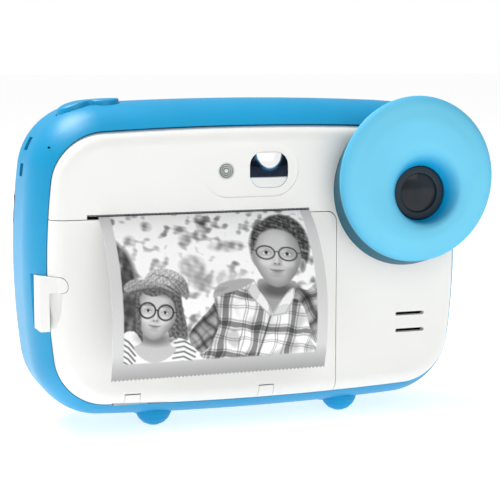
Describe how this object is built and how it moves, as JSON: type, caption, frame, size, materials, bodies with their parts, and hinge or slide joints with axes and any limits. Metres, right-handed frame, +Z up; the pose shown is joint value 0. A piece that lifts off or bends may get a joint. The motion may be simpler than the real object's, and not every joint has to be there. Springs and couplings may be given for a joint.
{
  "type": "kids instant print camera",
  "caption": "Rounded toy camera with white fascias in a blue shell, a large eccentric lens ring, a thermal printer behind a hinged door and a screen with keys at the back.",
  "frame": {"origin": "centre of the bounding box at the level of the feet", "axes": "+X to the right as seen from the front, +Y from the front to the back, +Z up"},
  "size_m": [0.1238, 0.0566, 0.0879],
  "materials": {
    "blue_shell": "satin",
    "blue_ring": "satin",
    "blue_button": "satin",
    "blue_foot": "satin",
    "white_cover": "satin",
    "white_latch": "satin",
    "bezel_black": "gloss",
    "lens_glass": "gloss",
    "flash_clear": "gloss",
    "mirror_chrome": "mirror",
    "steel": "satin",
    "aluminium": "satin",
    "ceramic": "satin",
    "platen_rubber": "matte",
    "paper_print": "satin",
    "paper_white": "matte",
    "card_brown": "matte",
    "gear_nylon": "satin",
    "inner_black": "matte",
    "board_green": "satin",
    "battery_wrap": "satin",
    "screen_glass": "gloss",
    "blue_key": "satin"
  },
  "bodies": {
    "camera": {"battery": "battery_wrap", "card_socket": "steel", "case_screws": "steel", "flash_board": "board_green", "flash_lens": "flash_clear", "foot_front_left": "blue_foot", "foot_front_right": "blue_foot", "foot_rear_left": "blue_foot", "foot_rear_right": "blue_foot", "front_cover": "white_cover", "head_springs": "steel", "heat_sink": "aluminium", "hinge_bracket": "white_latch", "hinge_pins": "steel", "housing": "blue_shell", "key_board": "board_green", "latch_pin": "steel", "lcd_panel": "inner_black", "lcd_window": "screen_glass", "lens_barrel": "inner_black", "lens_bezel": "bezel_black", "lens_glass": "lens_glass", "lens_ring": "blue_ring", "main_board": "board_green", "microphone": "inner_black", "paper_bucket": "inner_black", "port_board": "board_green", "print_head": "ceramic", "printer_frame": "steel", "rear_cover": "white_cover", "selfie_mirror": "mirror_chrome", "sensor_board": "board_green", "shutter_switch": "board_green", "speaker": "inner_black", "stepper_motor": "steel", "tear_bar": "steel", "usb_port": "steel"},
    "door": {"paper_door": "white_cover", "print_strip": "paper_print", "platen_bushing_left": "gear_nylon", "platen_bushing_right": "gear_nylon"},
    "platen": {"platen_roller": "platen_rubber", "platen_shaft": "steel", "platen_gear": "gear_nylon"},
    "latch": {"door_latch": "white_latch"},
    "shutter": {"shutter_button": "blue_button"},
    "roll": {"paper_roll": "paper_white", "roll_core": "card_brown"},
    "idler": {"idler_gear": "gear_nylon"},
    "rotor": {"motor_pinion": "gear_nylon", "motor_shaft": "steel"},
    "ok_key_cap": {"ok_key": "blue_key"},
    "up_key_cap": {"up_key": "blue_key"},
    "down_key_cap": {"down_key": "blue_key"},
    "left_key_cap": {"left_key": "blue_key"},
    "right_key_cap": {"right_key": "blue_key"},
    "menu_key_cap": {"menu_key": "blue_key"},
    "print_key_cap": {"print_key": "blue_key"},
    "power_key_cap": {"power_key": "blue_key"}
  },
  "joints": [
    {"name": "door_hinge", "type": "hinge", "parent": "camera", "child": "door", "pos_m": [-0.01795, -0.0121, 0.0092], "axis": [1, 0, 0], "range_deg": [0, 78]},
    {"name": "latch_hinge", "type": "hinge", "parent": "camera", "child": "latch", "pos_m": [-0.0588, -0.0072, 0.0359], "axis": [0, 0, -1], "range_deg": [0, 70]},
    {"name": "platen_spin", "type": "hinge", "parent": "door", "child": "platen", "pos_m": [-0.01645, -0.0071, 0.0512], "axis": [1, 0, 0], "continuous": true},
    {"name": "idler_spin", "type": "hinge", "parent": "camera", "child": "idler", "pos_m": [0.01715, 0.0039, 0.0512], "axis": [1, 0, 0], "continuous": true},
    {"name": "motor_spin", "type": "hinge", "parent": "camera", "child": "rotor", "pos_m": [0.01715, 0.0134, 0.0512], "axis": [1, 0, 0], "continuous": true},
    {"name": "roll_spin", "type": "hinge", "parent": "camera", "child": "roll", "pos_m": [-0.01645, 0.0051, 0.0295], "axis": [1, 0, 0], "continuous": true},
    {"name": "shutter_press", "type": "slide", "parent": "camera", "child": "shutter", "axis": [0, 0, -1], "range_m": [0, 0.001], "stiffness_N_per_m": 800, "springref_m": -0.0006},
    {"name": "ok_key_press", "type": "slide", "parent": "camera", "child": "ok_key_cap", "axis": [0, -1, 0], "range_m": [0, 0.0008], "stiffness_N_per_m": 600, "springref_m": -0.0005},
    {"name": "up_key_press", "type": "slide", "parent": "camera", "child": "up_key_cap", "axis": [0, -1, 0], "range_m": [0, 0.0008], "stiffness_N_per_m": 600, "springref_m": -0.0005},
    {"name": "down_key_press", "type": "slide", "parent": "camera", "child": "down_key_cap", "axis": [0, -1, 0], "range_m": [0, 0.0008], "stiffness_N_per_m": 600, "springref_m": -0.0005},
    {"name": "left_key_press", "type": "slide", "parent": "camera", "child": "left_key_cap", "axis": [0, -1, 0], "range_m": [0, 0.0008], "stiffness_N_per_m": 600, "springref_m": -0.0005},
    {"name": "right_key_press", "type": "slide", "parent": "camera", "child": "right_key_cap", "axis": [0, -1, 0], "range_m": [0, 0.0008], "stiffness_N_per_m": 600, "springref_m": -0.0005},
    {"name": "menu_key_press", "type": "slide", "parent": "camera", "child": "menu_key_cap", "axis": [0, -1, 0], "range_m": [0, 0.0008], "stiffness_N_per_m": 600, "springref_m": -0.0005},
    {"name": "print_key_press", "type": "slide", "parent": "camera", "child": "print_key_cap", "axis": [0, -1, 0], "range_m": [0, 0.0008], "stiffness_N_per_m": 600, "springref_m": -0.0005},
    {"name": "power_key_press", "type": "slide", "parent": "camera", "child": "power_key_cap", "axis": [0, -1, 0], "range_m": [0, 0.0008], "stiffness_N_per_m": 600, "springref_m": -0.0005}
  ],
  "couplings": [
    {"joint": "platen_spin", "follows": "roll_spin", "ratio": 3.4211},
    {"joint": "idler_spin", "follows": "roll_spin", "ratio": -2.3684},
    {"joint": "motor_spin", "follows": "roll_spin", "ratio": 5.1316}
  ]
}
